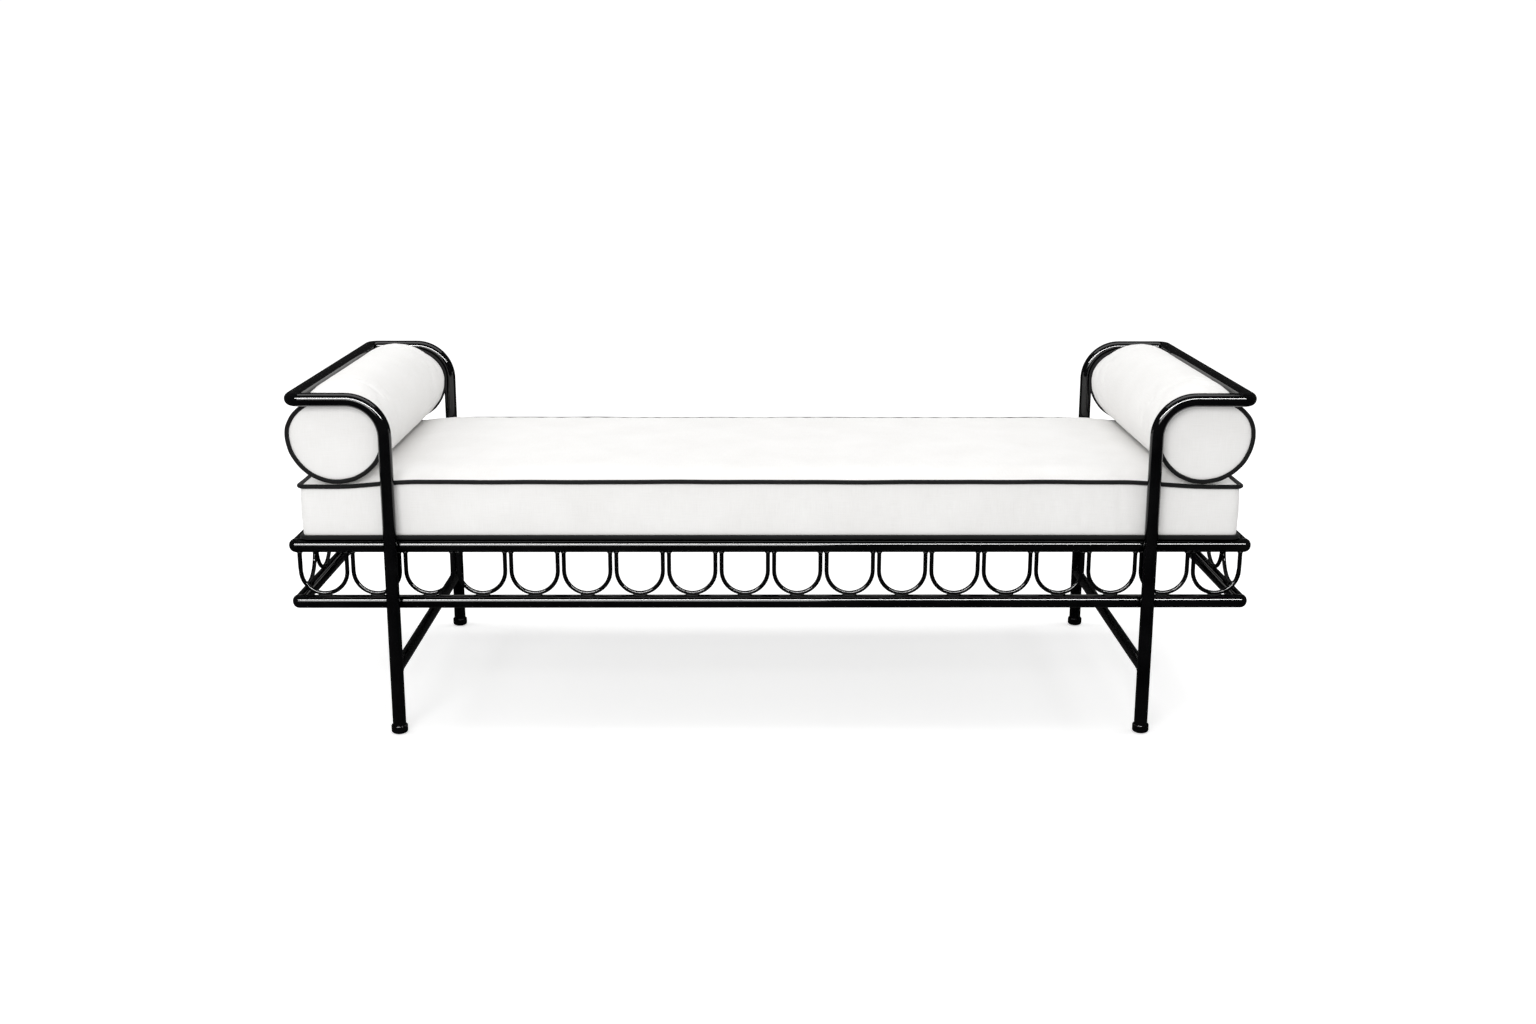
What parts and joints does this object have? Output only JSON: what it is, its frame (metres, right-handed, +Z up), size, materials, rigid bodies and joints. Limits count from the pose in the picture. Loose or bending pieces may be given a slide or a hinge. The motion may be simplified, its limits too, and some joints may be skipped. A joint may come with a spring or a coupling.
{
  "type": "daybed",
  "caption": "Daybed with a black steel tube frame, scalloped rod apron, arm tubes at both ends, a piped box mattress and two loose round bolsters.",
  "frame": {"origin": "on the floor under the middle of the daybed, at the middle of the four feet", "axes": "+X along the bed to the right seen from the front, -Y to the front, +Z up"},
  "size_m": [1.822, 0.7194, 0.6722],
  "materials": {
    "frame_paint": "gloss black paint",
    "deck_steel": "satin black paint",
    "glide_nylon": "matt moulded nylon",
    "cover_cloth": "plain weave white cotton canvas",
    "piping_cloth": "black cotton over cord",
    "zip_tape": "woven white zip tape",
    "foam": "open-cell foam",
    "wadding": "bonded polyester wadding"
  },
  "bodies": {
    "frame": {"left_front_leg": "frame_paint", "left_back_leg": "frame_paint", "right_front_leg": "frame_paint", "right_back_leg": "frame_paint", "left_arm_tube": "frame_paint", "right_arm_tube": "frame_paint", "left_stretcher": "frame_paint", "right_stretcher": "frame_paint", "left_front_foot": "frame_paint", "left_back_foot": "frame_paint", "right_front_foot": "frame_paint", "right_back_foot": "frame_paint", "lower_front_rail": "frame_paint", "lower_back_rail": "frame_paint", "lower_left_rail": "frame_paint", "lower_right_rail": "frame_paint", "upper_front_rail": "frame_paint", "upper_back_rail": "frame_paint", "upper_left_rail": "frame_paint", "upper_right_rail": "frame_paint", "front_scallops": "frame_paint", "back_scallops": "frame_paint", "left_scallops": "frame_paint", "right_scallops": "frame_paint", "leg_welds": "frame_paint", "left_front_glide": "glide_nylon", "left_back_glide": "glide_nylon", "right_front_glide": "glide_nylon", "right_back_glide": "glide_nylon", "deck_slats": "deck_steel", "deck_spine": "deck_steel", "mattress_foam": "foam", "mattress_wadding": "wadding", "mattress_top_panel": "cover_cloth", "mattress_boxing": "cover_cloth", "mattress_bottom_panel": "cover_cloth", "mattress_top_piping": "piping_cloth", "mattress_bottom_piping": "piping_cloth", "mattress_zip": "zip_tape"},
    "left_bolster": {"left_bolster_foam": "foam", "left_bolster_wadding": "wadding", "left_bolster_sleeve": "cover_cloth", "left_bolster_front_disc": "cover_cloth", "left_bolster_back_disc": "cover_cloth", "left_bolster_front_piping": "piping_cloth", "left_bolster_back_piping": "piping_cloth", "left_bolster_zip": "zip_tape"},
    "right_bolster": {"right_bolster_foam": "foam", "right_bolster_wadding": "wadding", "right_bolster_sleeve": "cover_cloth", "right_bolster_front_disc": "cover_cloth", "right_bolster_back_disc": "cover_cloth", "right_bolster_front_piping": "piping_cloth", "right_bolster_back_piping": "piping_cloth", "right_bolster_zip": "zip_tape"}
  },
  "joints": [
    {"name": "left_bolster_slide", "type": "slide", "parent": "frame", "child": "left_bolster", "axis": [0.9996, 0, 0.03], "range_m": [0, 0.7]},
    {"name": "right_bolster_slide", "type": "slide", "parent": "frame", "child": "right_bolster", "axis": [-0.9996, 0, 0.03], "range_m": [0, 0.7]}
  ]
}
